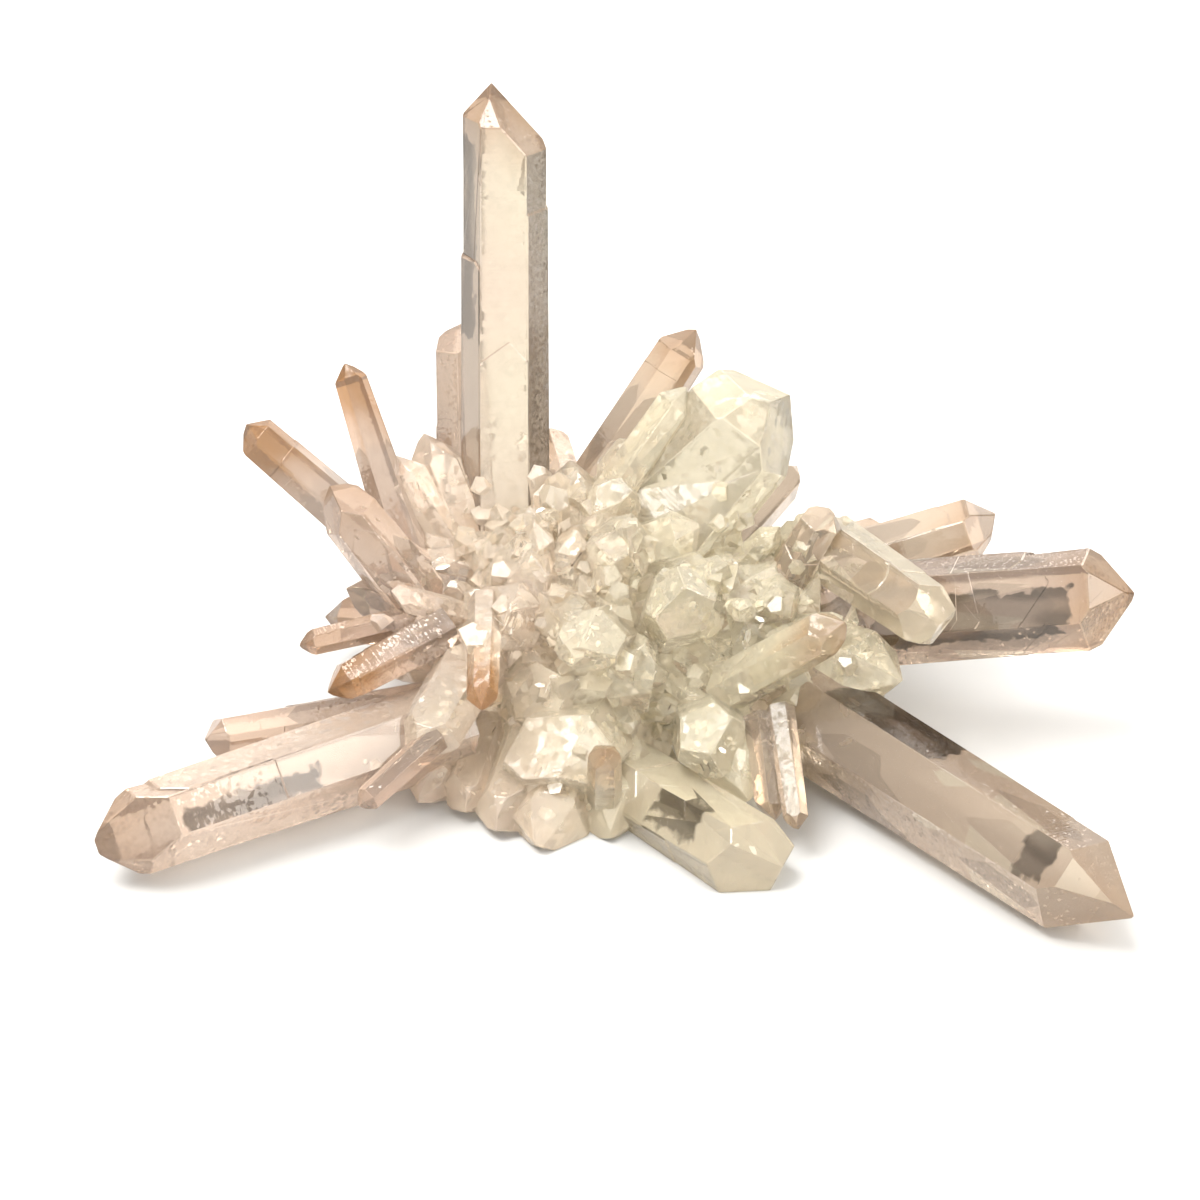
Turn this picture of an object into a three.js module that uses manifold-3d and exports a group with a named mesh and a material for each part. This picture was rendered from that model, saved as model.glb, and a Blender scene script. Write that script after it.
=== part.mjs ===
// A quartz crystal cluster: long clear points that radiate from one intergrown mass of blocky
// crystals. Units are millimetres, +Z is up, and the cluster stands on its broken base at Z = 0, with
// the origin under its middle. Every crystal is grown into its neighbours, so the cluster is one
// closed solid.
import * as THREE from "three";
import { ConvexGeometry } from "three/addons/geometries/ConvexGeometry.js";
import { mergeVertices } from "three/addons/utils/BufferGeometryUtils.js";
import Module from "manifold-3d";

const wasm = await Module();
wasm.setup();

// Driving dimensions. The crystals are laid out on the cluster's best side: across to the right, up
// that side, and out from it. The best side leans back, so that the cluster rests on its base.
const LEAN = THREE.MathUtils.degToRad(30);
const BASE_DROP = 13.5;
const FLOOR_REACH = 200;

// Quartz habit: six prism faces, and six tip faces that lean from the crystal's axis. The prism faces
// are a little uneven, and every second tip face tends to sit lower, in shares of the prism's half
// width.
const SIDES = 6;
const TIP_SLOPE = THREE.MathUtils.degToRad(51.8);
const STEEP_SLOPE = THREE.MathUtils.degToRad(59);
const BLUNT_SLOPE = THREE.MathUtils.degToRad(42);
const UNEVEN_SIDES = 0.16;
const LOW_CAP = 0.45;
const ANY_CAP = 0.35;
const RAGGED_CAP = 1.25;
const HEAD_ON = 0.85;
const WELD = 1e-4;
const SAME_CORNER = 1e-3;
const TOUCH = 1e-6;

// A seeded generator of numbers from 0 to 1, so that every build grows the same cluster.
function seeded(seed) {
  let state = seed;
  return () => {
    state = (state + 0x6d2b79f5) | 0;
    let t = Math.imul(state ^ (state >>> 15), 1 | state);
    t = (t + Math.imul(t ^ (t >>> 7), 61 | t)) ^ t;
    return ((t ^ (t >>> 14)) >>> 0) / 4294967296;
  };
}

// From the best side's across, up and out to the standing cluster's X, Y and Z.
function standing([across, up, out]) {
  return new THREE.Vector3(
    across,
    up * Math.sin(LEAN) - out * Math.cos(LEAN),
    up * Math.cos(LEAN) + out * Math.sin(LEAN) + BASE_DROP,
  );
}

const OUTWARD = standing([0, 0, 1]).sub(standing([0, 0, 0]));
const UPWARD = new THREE.Vector3(0, 0, 1);

function solidOf(geometry) {
  const bare = new THREE.BufferGeometry().setAttribute("position", geometry.getAttribute("position"));
  if (geometry.index) bare.setIndex(geometry.index);
  const merged = mergeVertices(bare, WELD);
  return new wasm.Manifold(
    new wasm.Mesh({
      numProp: 3,
      vertProperties: new Float32Array(merged.attributes.position.array),
      triVerts: new Uint32Array(merged.index.array),
    }),
  );
}

// The corners of the convex body that a list of planes cuts out.
function cornersOf(planes) {
  const corners = [];
  const hit = new THREE.Vector3();
  const span = new THREE.Matrix3();
  for (let i = 0; i < planes.length; i++)
    for (let j = i + 1; j < planes.length; j++)
      for (let k = j + 1; k < planes.length; k++) {
        const [p, q, r] = [planes[i], planes[j], planes[k]];
        span.set(
          p.normal.x, p.normal.y, p.normal.z,
          q.normal.x, q.normal.y, q.normal.z,
          r.normal.x, r.normal.y, r.normal.z,
        );
        if (Math.abs(span.determinant()) < TOUCH) continue;
        hit.set(p.reach, q.reach, r.reach).applyMatrix3(span.invert());
        const kept = planes.every((plane) => plane.normal.dot(hit) <= plane.reach + TOUCH);
        if (kept && !corners.some((corner) => corner.distanceTo(hit) < SAME_CORNER)) corners.push(hit.clone());
      }
  return corners;
}

// One quartz crystal from its root to its tip. width is across the prism, roll turns it about its
// axis, taper thins it towards the tip, caps is the number of tip faces, lifts raise or drop each of
// them along the axis, and blunt cuts the tip short.
function crystal(row, chance) {
  const { root, tip, width, roll, taper = 1, slope = TIP_SLOPE, caps = SIDES, lifts, blunt } = row;
  const { uneven = ANY_CAP } = row;
  const foot = standing(root);
  const axis = standing(tip).sub(foot);
  const length = axis.length();
  axis.normalize();
  const front = (Math.abs(axis.dot(OUTWARD)) < HEAD_ON ? OUTWARD : UPWARD).clone();
  front.addScaledVector(axis, -front.dot(axis)).normalize();
  const side = new THREE.Vector3().crossVectors(axis, front);
  const inner = (width / 2) * Math.cos(Math.PI / SIDES);
  const lean = THREE.MathUtils.degToRad(taper);
  const planes = [{ normal: new THREE.Vector3(0, 0, -1), reach: 0 }];
  for (let k = 0; k < SIDES; k++) {
    const turn = THREE.MathUtils.degToRad(roll) + (k * 2 * Math.PI) / SIDES;
    const reach = inner * (1 + UNEVEN_SIDES * (chance() - 0.5));
    const wall = new THREE.Vector3(Math.cos(turn), Math.sin(turn), Math.tan(lean)).normalize();
    const brink = new THREE.Vector3(reach * Math.cos(turn), reach * Math.sin(turn), length);
    planes.push({ normal: wall, reach: wall.dot(brink) });
    if (k % (SIDES / caps)) continue;
    const lift = lifts ? lifts[k] : -LOW_CAP * inner * (k % 2) * chance() - uneven * inner * chance();
    const cap = new THREE.Vector3(
      Math.cos(turn) * Math.sin(slope),
      Math.sin(turn) * Math.sin(slope),
      Math.cos(slope),
    );
    planes.push({ normal: cap, reach: cap.z * (length + lift) });
  }
  if (blunt) {
    const cut = new THREE.Vector3(blunt.front, blunt.side, 1).normalize();
    planes.push({ normal: cut, reach: cut.z * (length - blunt.short) });
  }
  const grown = new ConvexGeometry(cornersOf(planes));
  grown.applyMatrix4(new THREE.Matrix4().makeBasis(front, side, axis).setPosition(foot));
  return solidOf(grown);
}

// The points that stand clear of the mass: the tall one, then round to the left, along the bottom and
// up the right.
const POINTS = [
  {
    root: [-10.9, 6, -2],
    tip: [-10.6, 58.6, 17],
    width: 9.4,
    roll: -2,
    taper: 0.3,
    lifts: [-0.6, -3.2, -2.6, 0, 0.6, 0.2],
  },
  { root: [-15.2, 2, -6], tip: [-16.1, 33.1, 1], width: 6.4, roll: 20, slope: BLUNT_SLOPE },
  { root: [-19.8, -2, 2], tip: [-29.1, 27.5, 6], width: 3.6, roll: 10, taper: 2 },
  { root: [-21, 3, 4], tip: [-40.6, 20, 9], width: 5, roll: 15, slope: BLUNT_SLOPE },
  { root: [-17, -5, 4], tip: [-31.6, 13.8, 12], width: 6.8, roll: -10 },
  { root: [-16, -1.2, 4], tip: [-30.2, 1, 6], width: 8, roll: 30 },
  { root: [-18, -1.4, 8], tip: [-34.2, -5.2, 12], width: 3, roll: 0 },
  { root: [-17, -3, 12], tip: [-30.8, -10.4, 17], width: 4.5, roll: 25 },
  {
    root: [-16, -14, 11],
    tip: [-55.3, -26.9, 31],
    width: 9.8,
    roll: 4,
    taper: 0.5,
    lifts: [-3.4, -1, 0, 0, 0, -1],
  },
  { root: [-17, -11.4, 4], tip: [-44.6, -15.6, 17], width: 4.8, roll: 30, slope: BLUNT_SLOPE },
  { root: [-18, -15, 20], tip: [-26.6, -22.8, 25], width: 3, roll: 12 },
  {
    root: [-2.8, -17.8, 4],
    tip: [20.3, -30.5, 33],
    width: 10.4,
    roll: 0,
    taper: 0.2,
    slope: BLUNT_SLOPE,
    blunt: { front: 0.35, side: 0.55, short: 5 },
  },
  { root: [20, -12, 17], tip: [21.6, -25.4, 25], width: 2.6, roll: 10 },
  { root: [18, -13, 16], tip: [19.2, -25, 22], width: 3.8, roll: 40 },
  {
    root: [20, -10.6, 6],
    tip: [56.3, -33.8, 43],
    width: 11.2,
    roll: 0,
    slope: STEEP_SLOPE,
    taper: 0.5,
  },
  {
    root: [23, -2.4, 0],
    tip: [60.6, 0.5, 13],
    width: 11.2,
    roll: -8,
    slope: BLUNT_SLOPE,
    taper: 0.5,
    lifts: [-1, -1.6, -0.4, 0, 0, -1],
  },
  {
    root: [20, 1, -6],
    tip: [47.6, 9.8, -2],
    width: 7.4,
    roll: 10,
    blunt: { front: 0, side: 0.5, short: 2 },
  },
  { root: [26.4, 6, 3], tip: [37.6, -2.9, 25], width: 7, roll: 0, slope: BLUNT_SLOPE },
  { root: [19, -2, 4], tip: [26.4, 11, 10], width: 5.2, roll: 20, slope: BLUNT_SLOPE },
  { root: [-4, 8, -8], tip: [11.8, 32.4, -2], width: 6, roll: 12 },
];

// The blocky crystals of the mass that show from its best side.
const BLOCKS = [
  {
    root: [5, 6, 0],
    tip: [22.8, 28.4, 7],
    width: 14.8,
    roll: 8,
    taper: 0.2,
    blunt: { front: 0.15, side: -0.28, short: 6.2 },
  },
  { root: [-4, 4, 3], tip: [10.4, 24.6, 6], width: 4.8, roll: 15 },
  { root: [0, -14, 3], tip: [-7.4, -21.8, 27], width: 13, roll: 12, lifts: [-5, 0, -3, -6.5, -1.5, -4] },
  { root: [-3, -14, 4], tip: [-6.8, -28.4, 23], width: 9, roll: 0 },
  { root: [-6, -12, 4], tip: [-11.6, -26.6, 21], width: 7, roll: 20 },
  { root: [-12, -12, 3], tip: [-15.6, -24.2, 18], width: 5.4, roll: 12 },
  { root: [-14, -10, 3], tip: [-20, -23.6, 15.6], width: 6.4, roll: 25 },
  { root: [2, -14, 4], tip: [0.6, -27, 21], width: 8, roll: 8 },
  { root: [12, -10, 6], tip: [16.4, -22.6, 21], width: 7.4, roll: 16 },
  { root: [2, -4, 6], tip: [-2.6, -5, 27], width: 7.4, roll: 20, lifts: [-3.5, -1.2, 0, -3, -0.6, -4] },
  { root: [14, -10, 12], tip: [26.9, -2.2, 27], width: 5, roll: 8 },
  { root: [-12.8, 0, 14], tip: [-12.9, -12.4, 25], width: 3.3, roll: 6 },
  { root: [0.5, -22, 18], tip: [0.5, -15.6, 28], width: 3.6, roll: 0 },
  { root: [-14, -6, 10], tip: [-21, -18.6, 22], width: 7, roll: 18 },
  { root: [14, 2, 4], tip: [20.6, 8.6, 9], width: 3.2, roll: 10 },
  { root: [8, -2, 8], tip: [9.5, 1.5, 26], width: 8, roll: 10, lifts: [0, -3.6, -2, -4.5, -0.4, -3] },
  { root: [12, -14, 8], tip: [12.5, -17, 27], width: 8, roll: 25, lifts: [-4, -0.5, -3, 0, -4, -2] },
  { root: [24, -6, 4], tip: [34.6, -9, 15], width: 9, roll: 10 },
  { root: [-2, 4, 0], tip: [-4, 17.2, 1], width: 7, roll: 10 },
  { root: [2, 4, 0], tip: [2.4, 19.8, 3], width: 6, roll: 30 },
  { root: [-14, 4, 0], tip: [-20.4, 20.4, 2], width: 6, roll: 15 },
  { root: [-14, 2, 1], tip: [-24, 17.6, 3], width: 5, roll: 40 },
];

// The hidden side: points that spread behind the mass.
const BACK_POINTS = [
  { root: [-4, 0, -4], tip: [-26, 10, -30], width: 7.4, roll: 10 },
  { root: [4, 0, -4], tip: [9, 16, -36], width: 9, roll: 25 },
  { root: [12, 0, -4], tip: [37, 7, -27], width: 7.8, roll: 5 },
  { root: [-2, 4, -6], tip: [-7, 21, -24], width: 6, roll: 40 },
  { root: [10, 2, -6], tip: [24, 17, -20], width: 5.6, roll: 12 },
  { root: [-10, -4, -4], tip: [-33, -2, -13], width: 6, roll: 33 },
];

// The two hearts that the mass grew from, as solid lumps under its crystals.
const HEARTS = [
  { middle: [-2, -3.6, 0], size: [23, 20.6, 19.5] },
  { middle: [17, -5, 0], size: [16, 14.5, 15] },
];
const LUMP_SHARE = 0.76;
const ROOT_SHARE = 0.35;
const TIP_SWAY = 0.5;

function lump({ middle, size }) {
  const shape = new THREE.IcosahedronGeometry(LUMP_SHARE);
  shape.scale(size[0], size[1], size[2]);
  shape.rotateX(Math.PI / 2 - LEAN);
  shape.translate(...standing(middle).toArray());
  return solidOf(shape);
}

// Crystals packed side by side all round the mass, and smaller ones between them. Each stands on one
// of the hearts, and leans from the straight way out by up to sway at either end. Three in five stand
// on the larger heart.
const CROWDS = [
  { count: 64, widths: [5.8, 9.4], sway: 7, stand: [0.88, 1.08], caps: 6 },
  { count: 54, widths: [2.2, 4.4], sway: 2.6, stand: [1.02, 1.18], caps: 3 },
];
const GOLDEN_TURN = Math.PI * (3 - Math.sqrt(5));
const FULL_TURN = 360;
const chance = seeded(8);
const between = (low, high) => low + (high - low) * chance();

function crowdCrystal({ count, widths, sway, stand, caps }, i) {
  const { middle, size } = HEARTS[i % 5 < 3 ? 0 : 1];
  const up = 1 - (2 * i + 1) / count;
  const ring = Math.sqrt(1 - up * up);
  const away = [ring * Math.cos(i * GOLDEN_TURN), up, ring * Math.sin(i * GOLDEN_TURN)];
  const height = between(...stand);
  const root = away.map((part, k) => middle[k] + part * size[k] * ROOT_SHARE + between(-sway, sway));
  const tip = away.map((part, k) => middle[k] + part * size[k] * height + between(-sway, sway) * TIP_SWAY);
  const width = between(...widths);
  const roll = between(0, FULL_TURN / SIDES);
  return crystal({ root, tip, width, roll, caps, uneven: RAGGED_CAP }, chance);
}

const grown = [
  ...HEARTS.map(lump),
  ...[...POINTS, ...BLOCKS, ...BACK_POINTS].map((row) => crystal(row, chance)),
  ...CROWDS.flatMap((crowd) => Array.from({ length: crowd.count }, (_, i) => crowdCrystal(crowd, i))),
];
const joined = grown.reduce((sum, next) => sum.add(next));

// The base is broken off flat, so the cluster stands on Z = 0. Chips that the break leaves loose are
// dropped.
const under = new THREE.BoxGeometry(FLOOR_REACH, FLOOR_REACH, FLOOR_REACH);
under.translate(0, 0, -FLOOR_REACH / 2);
const [body] = joined.subtract(solidOf(under)).decompose().sort((a, b) => b.volume() - a.volume());

const { vertProperties, triVerts } = body.getMesh();
const geometry = new THREE.BufferGeometry();
geometry.setAttribute("position", new THREE.BufferAttribute(new Float32Array(vertProperties), 3));
geometry.setIndex(new THREE.BufferAttribute(new Uint32Array(triVerts), 1));
geometry.computeVertexNormals();

const PALE_CHAMPAGNE = 0xe6d6bf;
const quartz = new THREE.MeshStandardMaterial({ color: PALE_CHAMPAGNE, roughness: 0.15, metalness: 0 });
const cluster = new THREE.Mesh(geometry, quartz);
cluster.name = "quartz_cluster";

const group = new THREE.Group();
group.add(cluster);

export default group;
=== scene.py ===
"""The looks of a quartz crystal cluster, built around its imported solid."""

import math

import bmesh
import bpy
from bpy.props import FloatProperty, FloatVectorProperty, IntProperty, PointerProperty
from mathutils import Matrix, Vector
from mathutils.bvhtree import BVHTree


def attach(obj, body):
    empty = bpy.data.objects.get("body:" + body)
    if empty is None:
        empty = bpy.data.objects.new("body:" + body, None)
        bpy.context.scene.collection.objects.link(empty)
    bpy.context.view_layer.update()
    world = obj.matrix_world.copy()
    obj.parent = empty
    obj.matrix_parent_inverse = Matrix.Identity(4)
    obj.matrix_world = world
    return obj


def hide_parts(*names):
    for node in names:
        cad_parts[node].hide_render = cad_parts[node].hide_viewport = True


bl_info = {
    "name": "Quartz Crystal Cluster",
    "version": (1, 0, 0),
    "blender": (4, 5, 0),
    "location": "3D View > Sidebar > Quartz",
    "description": "Grows a quartz crystal cluster with its clear points, milky mass and broken base",
    "category": "Object",
}

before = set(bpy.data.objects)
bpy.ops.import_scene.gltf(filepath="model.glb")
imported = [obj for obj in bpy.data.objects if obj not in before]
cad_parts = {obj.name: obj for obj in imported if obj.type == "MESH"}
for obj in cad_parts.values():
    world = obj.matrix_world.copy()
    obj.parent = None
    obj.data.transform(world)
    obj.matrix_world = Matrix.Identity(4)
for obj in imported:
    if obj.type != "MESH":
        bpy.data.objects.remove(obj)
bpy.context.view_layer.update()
NODE = "quartz_cluster"
BODY = "root"
MM = 0.001

# The cluster's layout, in millimetres: across its best side, up that side, and out from it. That side leans back.
LEAN = math.radians(30)
BASE_DROP = 13.5
SIDES = 6
TIP_SLOPE = 51.8
STEEP_SLOPE = 59
BLUNT_SLOPE = 42
EYE_DISTANCE = 450
PICTURE_WIDTH = 138.36
WELD = 1e-8

# How much the faces of one crystal differ, as shares of its inner radius.
UNEVEN_SIDES = 0.16
LOW_CAP = 0.45
ANY_CAP = 0.35
RAGGED_CAP = 1.25
STUD_CAP = 1.2
# Past this, a crystal points at the viewer, and its first face is the upper one.
HEAD_ON = 0.85
# Faces of the broken base, and faces that have no side to them.
STRAIGHT_DOWN = -0.999
AT_BASE = 0.00001
LEAST_LEAN = 0.0001
# A crystal this wide or wider, in metres, has the full edge wear.
WORN_WIDTH = 0.008
# A face of the crystal is known by the way it faces. REST stands for any other face.
SAME_WAY = 0.6
REST = 12

# How etched a crystal's faces are, from the least to the most.
CLEAR = (0.0, 0.55)
MILKY = (0.35, 1.0)
BROKEN = 1.2
# Where a face gets a painted dark reflection (its dark window): from and to across it, and from and to down it from
# the tip, in millimetres.
NO_WINDOW = (9, -9, 9, -9)
# How far a plain face's painted shade may go, a random darkening face by face that stands in for shading and dark
# reflections, and how champagne it is.
CLEAR_LOOK = (0.6, 0.65)
MILKY_LOOK = (0.2, 0.0)

# Long points: root, tip, width across the prism, and how the tip and faces differ from the plain habit. A face's
# entry gives its painted shade (a darkening that stands in for shading and dark reflections), its frost and how
# champagne it is; its window is a painted dark reflection.
POINTS = [
    {"root": (-10.9, 6, -2), "tip": (-10.6, 58.6, 17), "width": 9.4, "roll": -2, "taper": 0.3,
     "lifts": (-0.6, -3.2, -2.6, 0, 0.6, 0.2), "stain": 0.8, "champagne": 0.15,
     "faces": {5: (0.6, 0.1, 0.8), 4: (0.8, 0.2, 0.5), 0: (0.22, 0.6, 0.0), 1: (0.75, 1.0, 0.6), 6: (0.3, 0.3, 1.0),
               7: (0.35, 0.7, 0.9), 11: (0.25, 0.2, 1.0)},
     "windows": {5: (-9, 1.7, 7.0, 31)}},
    {"root": (-15.2, 2, -6), "tip": (-16.1, 33.1, 1), "width": 6.4, "roll": 20, "slope": BLUNT_SLOPE},
    {"root": (-19.8, -2, 2), "tip": (-29.1, 27.5, 6), "width": 3.6, "roll": 10, "taper": 2, "stain": 1.6},
    {"root": (-21, 3, 4), "tip": (-40.6, 20, 9), "width": 5, "roll": 15, "slope": BLUNT_SLOPE, "stain": 1.8},
    {"root": (-17, -5, 4), "tip": (-31.6, 13.8, 12), "width": 6.8, "roll": -10, "stain": 0.6},
    {"root": (-16, -1.2, 4), "tip": (-30.2, 1, 6), "width": 8, "roll": 30},
    {"root": (-18, -1.4, 8), "tip": (-34.2, -5.2, 12), "width": 3, "roll": 0, "stain": 0.7},
    {"root": (-17, -3, 12), "tip": (-30.8, -10.4, 17), "width": 4.5, "roll": 25, "stain": 1.3},
    {"root": (-16, -14, 11), "tip": (-55.3, -26.9, 31), "width": 9.8, "roll": 4, "taper": 0.5,
     "lifts": (-3.4, -1, 0, 0, 0, -1), "stain": 0.6,
     "champagne": 0.3,
     "faces": {1: (0.1, 0.9, 0.15), 0: (0.3, 0.0, 0.45), 5: (0.2, 0.6, 0.3), 6: (0.5, 0.6, 0.6),
               11: (0.5, 0.6, 0.55)},
     "windows": {0: (-2.6, 1.1, 10.0, 27)}},
    {"root": (-17, -11.4, 4), "tip": (-44.6, -15.6, 17), "width": 4.8, "roll": 30, "slope": BLUNT_SLOPE},
    {"root": (-18, -15, 20), "tip": (-26.6, -22.8, 25), "width": 3, "roll": 12},
    {"root": (-2.8, -17.8, 4), "tip": (20.3, -30.5, 33), "width": 10.4, "roll": 0, "taper": 0.2,
     "slope": BLUNT_SLOPE, "blunt": (0.35, 0.55, 5), "champagne": 0.2,
     "faces": {0: (0.15, 0.15, 0.2), 5: (0.0, 0.4, 0.1)}, "windows": {0: (-9, 2.2, 11.6, 20)}},
    {"root": (20, -12, 17), "tip": (21.6, -25.4, 25), "width": 2.6, "roll": 10, "faces": {0: (0.45, 0.9, 0.3)}},
    {"root": (18, -13, 16), "tip": (19.2, -25, 22), "width": 3.8, "roll": 40},
    {"root": (20, -10.6, 6), "tip": (56.3, -33.8, 43), "width": 11.2, "roll": 0, "slope": STEEP_SLOPE,
     "taper": 0.5, "stain": 0.35, "champagne": 0.7,
     "faces": {0: (0.35, 0.2, 0.7), 5: (0.35, 0.3, 0.8), 1: (0.2, 0.5, 0.8), 6: (0.14, 0.0, 0.35)},
     "windows": {0: (-9, 3.0, 9.9, 14.8), 5: (-9, 9, 30, 48)}},
    {"root": (23, -2.4, 0), "tip": (60.6, 0.5, 13), "width": 11.2, "roll": -8, "slope": BLUNT_SLOPE,
     "taper": 0.5, "lifts": (-1, -1.6, -0.4, 0, 0, -1), "stain": 0.9,
     "faces": {0: (0.5, 0.1, 1.0), 5: (0.5, 0.5, 1.0), 1: (0.5, 0.2, 1.0)},
     "windows": {0: (-1.3, 9, 6.6, 31), 1: (-9, 0.4, 8.0, 31)}},
    {"root": (20, 1, -6), "tip": (47.6, 9.8, -2), "width": 7.4, "roll": 10, "blunt": (0, 0.5, 2), "stain": 0.7},
    {"root": (26.4, 6, 3), "tip": (37.6, -2.9, 25), "width": 7, "roll": 0, "slope": BLUNT_SLOPE,
     "champagne": 0.3, "contrast": 0.3, "faces": {0: (0.25, 0.1, 0.55), 5: (0.1, 0.1, 0.2)}},
    {"root": (19, -2, 4), "tip": (26.4, 11, 10), "width": 5.2, "roll": 20, "slope": BLUNT_SLOPE},
    {"root": (-4, 8, -8), "tip": (11.8, 32.4, -2), "width": 6, "roll": 12, "stain": 0.8},
]

# Blocky crystals of the mass that show from its best side. A face's entry gives its painted shade, frost and
# champagne, as for the long points.
BLOCKS = [
    {"root": (5, 6, 0), "tip": (22.8, 28.4, 7), "width": 14.8, "roll": 8, "taper": 0.2,
     "blunt": (0.15, -0.28, 6.2),
     "faces": {0: (0.42, 0.9, 0.05), 5: (0.46, 1.0, 0.1), 6: (0.35, 0.8, 0.0), 7: (0.42, 0.9, 0.0)}},
    {"root": (-4, 4, 3), "tip": (10.4, 24.6, 6), "width": 4.8, "roll": 15},
    {"root": (0, -14, 3), "tip": (-7.4, -21.8, 27), "width": 13, "roll": 12,
     "lifts": (-5, 0, -3, -6.5, -1.5, -4)},
    {"root": (-3, -14, 4), "tip": (-6.8, -28.4, 23), "width": 9, "roll": 0},
    {"root": (-6, -12, 4), "tip": (-11.6, -26.6, 21), "width": 7, "roll": 20},
    {"root": (-12, -12, 3), "tip": (-15.6, -24.2, 18), "width": 5.4, "roll": 12},
    {"root": (-14, -10, 3), "tip": (-20, -23.6, 15.6), "width": 6.4, "roll": 25},
    {"root": (2, -14, 4), "tip": (0.6, -27, 21), "width": 8, "roll": 8},
    {"root": (12, -10, 6), "tip": (16.4, -22.6, 21), "width": 7.4, "roll": 16},
    {"root": (2, -4, 6), "tip": (-2.6, -5, 27), "width": 7.4, "roll": 20,
     "lifts": (-3.5, -1.2, 0, -3, -0.6, -4)},
    {"root": (14, -10, 12), "tip": (26.9, -2.2, 27), "width": 5, "roll": 8, "stain": 0.8},
    {"root": (-12.8, 0, 14), "tip": (-12.9, -12.4, 25), "width": 3.3, "roll": 6, "stain": 1.5},
    {"root": (0.5, -22, 18), "tip": (0.5, -15.6, 28), "width": 3.6, "roll": 0, "stain": 0.8},
    {"root": (-14, -6, 10), "tip": (-21, -18.6, 22), "width": 7, "roll": 18},
    {"root": (14, 2, 4), "tip": (20.6, 8.6, 9), "width": 3.2, "roll": 10},
    {"root": (8, -2, 8), "tip": (9.5, 1.5, 26), "width": 8, "roll": 10,
     "lifts": (0, -3.6, -2, -4.5, -0.4, -3)},
    {"root": (12, -14, 8), "tip": (12.5, -17, 27), "width": 8, "roll": 25,
     "lifts": (-4, -0.5, -3, 0, -4, -2)},
    {"root": (24, -6, 4), "tip": (34.6, -9, 15), "width": 9, "roll": 10},
    {"root": (-2, 4, 0), "tip": (-4, 17.2, 1), "width": 7, "roll": 10},
    {"root": (2, 4, 0), "tip": (2.4, 19.8, 3), "width": 6, "roll": 30},
    {"root": (-14, 4, 0), "tip": (-20.4, 20.4, 2), "width": 6, "roll": 15},
    {"root": (-14, 2, 1), "tip": (-24, 17.6, 3), "width": 5, "roll": 40},
]

# Points that spread behind the mass.
BACK_POINTS = [
    {"root": (-4, 0, -4), "tip": (-26, 10, -30), "width": 7.4, "roll": 10, "stain": 0.6},
    {"root": (4, 0, -4), "tip": (9, 16, -36), "width": 9, "roll": 25, "stain": 0.5},
    {"root": (12, 0, -4), "tip": (37, 7, -27), "width": 7.8, "roll": 5, "stain": 0.6},
    {"root": (-2, 4, -6), "tip": (-7, 21, -24), "width": 6, "roll": 40, "stain": 0.8},
    {"root": (10, 2, -6), "tip": (24, 17, -20), "width": 5.6, "roll": 12},
    {"root": (-10, -4, -4), "tip": (-33, -2, -13), "width": 6, "roll": 33, "stain": 0.8},
]

# The two hearts that the mass grew from, and the crowds of crystals round them.
HEARTS = [
    {"middle": (-2, -3.6, 0), "size": (23, 20.6, 19.5)},
    {"middle": (17, -5, 0), "size": (16, 14.5, 15)},
]
FILLERS = {"count": 260, "widths": (3.0, 6.4), "sway": 6, "stand": (0.80, 1.0), "caps": 6}
CROWDS = [
    {"count": 64, "widths": (5.8, 9.4), "sway": 7, "stand": (0.88, 1.08), "caps": 6},
    {"count": 54, "widths": (2.2, 4.4), "sway": 2.6, "stand": (1.02, 1.18), "caps": 3},
]
GOLDEN_TURN = math.pi * (3 - math.sqrt(5))
ROOT_SHARE = 0.35
TIP_SWAY = 0.5

# Growth steps of a large point: how many, how far up it, how thick and how far under its other faces in
# millimetres, how they slant, and the least width of such a point in metres.
STEPS = {"count": 4, "reach": (0.45, 0.97), "height": (0.05, 0.16), "sunk": 0.06, "slant": 0.8, "least width": 0.0045}
# Small studs on the mass: their widths in millimetres, how high they stand for their width, how they lean
# and stray, how deep their roots are, and where on the mass they may grow.
STUDS = {"widths": (1.6, 3.4), "spread": (0.8, 1.4), "stand": (0.25, 0.9), "lean": (0.2, 0.8), "stray": 0.4,
         "root": 1.2, "least height": 1.5, "reach": 0.62, "first heart": 0.62}
# Veils: the share that lies in long points, where along and across the crystal they lie, their radius as a
# share of the crystal's, their largest radius and their thickness in millimetres, and how narrow they are.
VEILS = {"long": 0.05, "long place": (0.1, 0.35), "place": (0.3, 0.8), "spread": 0.6, "radius": (0.1, 0.3),
         "largest": 1.2, "thick": 0.03, "narrow": (0.25, 0.9), "points each": 10}


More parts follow.
